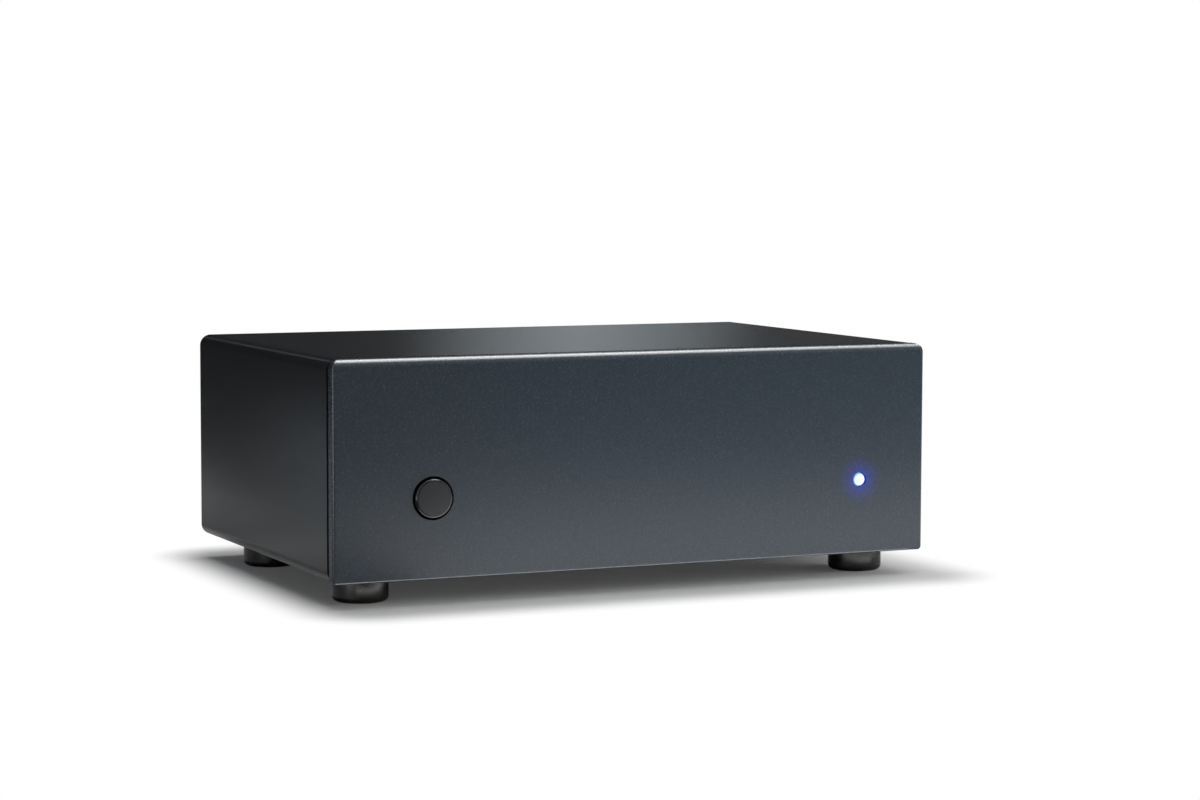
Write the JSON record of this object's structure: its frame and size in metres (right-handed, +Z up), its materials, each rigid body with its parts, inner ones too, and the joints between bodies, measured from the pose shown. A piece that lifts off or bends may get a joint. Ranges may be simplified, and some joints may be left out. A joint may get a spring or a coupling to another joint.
{
  "type": "phono preamplifier",
  "caption": "Small folded-steel audio box on round feet, with a push button and indicator light in front and phono sockets, gain switch, ground terminal and power inlet behind.",
  "frame": {"origin": "centre of the whole unit's footprint, on the surface it stands on", "axes": "+X to the unit's right as seen from the front, +Y towards its back, +Z up; the front panel faces -Y"},
  "size_m": [0.135, 0.0988, 0.0499],
  "materials": {
    "case_paint": "fine-grain graphite powder coat, satin",
    "tray_paint": "graphite powder coat, matt",
    "foot_rubber": "moulded, satin",
    "screw_steel": "zinc plated",
    "board_laminate": "solder-masked glass-fibre laminate",
    "button_plastic": "fine moulded satin black",
    "black_plastic": "moulded black",
    "light_lens": "clear diffused lens",
    "socket_plating": "gold-flashed brass",
    "contact_metal": "turned brass",
    "white_insulator": "moulded white",
    "red_insulator": "moulded red",
    "knob_metal": "knurled, gold-flashed",
    "capacitor_sleeve": "shrunk sleeve",
    "film_capacitor_case": "moulded case",
    "chip_package": "moulded epoxy",
    "resistor_coat": "lacquered"
  },
  "bodies": {
    "case": {"top_cover": "case_paint", "chassis_tray": "tray_paint", "front_panel": "case_paint", "foot_front_left": "foot_rubber", "foot_front_right": "foot_rubber", "foot_rear_left": "foot_rubber", "foot_rear_right": "foot_rubber", "foot_screws": "screw_steel", "foot_nuts": "screw_steel", "front_panel_screws": "screw_steel", "main_board": "board_laminate", "board_standoffs": "screw_steel", "board_screws": "screw_steel", "power_switch": "black_plastic", "power_light": "light_lens", "light_holder": "black_plastic", "input_socket_body": "black_plastic", "output_socket_body": "black_plastic", "socket_screws": "screw_steel", "power_inlet": "black_plastic", "inlet_pin": "contact_metal", "gain_switch_base": "black_plastic", "gain_switch_frame": "screw_steel", "ground_stud": "contact_metal", "ground_nut": "screw_steel", "supply_capacitor_left": "capacitor_sleeve", "supply_capacitor_right": "capacitor_sleeve", "film_capacitor_left": "film_capacitor_case", "film_capacitor_right": "film_capacitor_case", "amplifier_chip_first": "chip_package", "amplifier_chip_second": "chip_package", "voltage_regulator": "chip_package", "resistors": "resistor_coat", "input_right_shell": "socket_plating", "input_right_insulator": "red_insulator", "input_right_contact": "contact_metal", "input_left_shell": "socket_plating", "input_left_insulator": "white_insulator", "input_left_contact": "contact_metal", "output_right_shell": "socket_plating", "output_right_insulator": "red_insulator", "output_right_contact": "contact_metal", "output_left_shell": "socket_plating", "output_left_insulator": "white_insulator", "output_left_contact": "contact_metal"},
    "power_button": {"power_button": "button_plastic"},
    "gain_switch_knob": {"gain_switch_knob": "black_plastic"},
    "ground_washer": {"ground_washer": "screw_steel"},
    "ground_knob": {"ground_knob": "knob_metal"}
  },
  "joints": [
    {"name": "power_button_press", "type": "slide", "parent": "case", "child": "power_button", "axis": [0, 1, 0], "range_m": [0, 0.0015], "stiffness_N_per_m": 800},
    {"name": "gain_switch_slide", "type": "slide", "parent": "case", "child": "gain_switch_knob", "axis": [1, 0, 0], "range_m": [0, 0.004]},
    {"name": "ground_washer_travel", "type": "slide", "parent": "case", "child": "ground_washer", "axis": [0, 1, 0], "range_m": [0, 0.0021]},
    {"name": "ground_knob_turn", "type": "hinge", "parent": "ground_washer", "child": "ground_knob", "pos_m": [0.024, 0.04365, 0.0281], "axis": [0, 1, 0], "range_deg": [0, 1080]}
  ],
  "couplings": [
    {"joint": "ground_knob_turn", "follows": "ground_washer_travel", "rad_per_m": 8976}
  ]
}
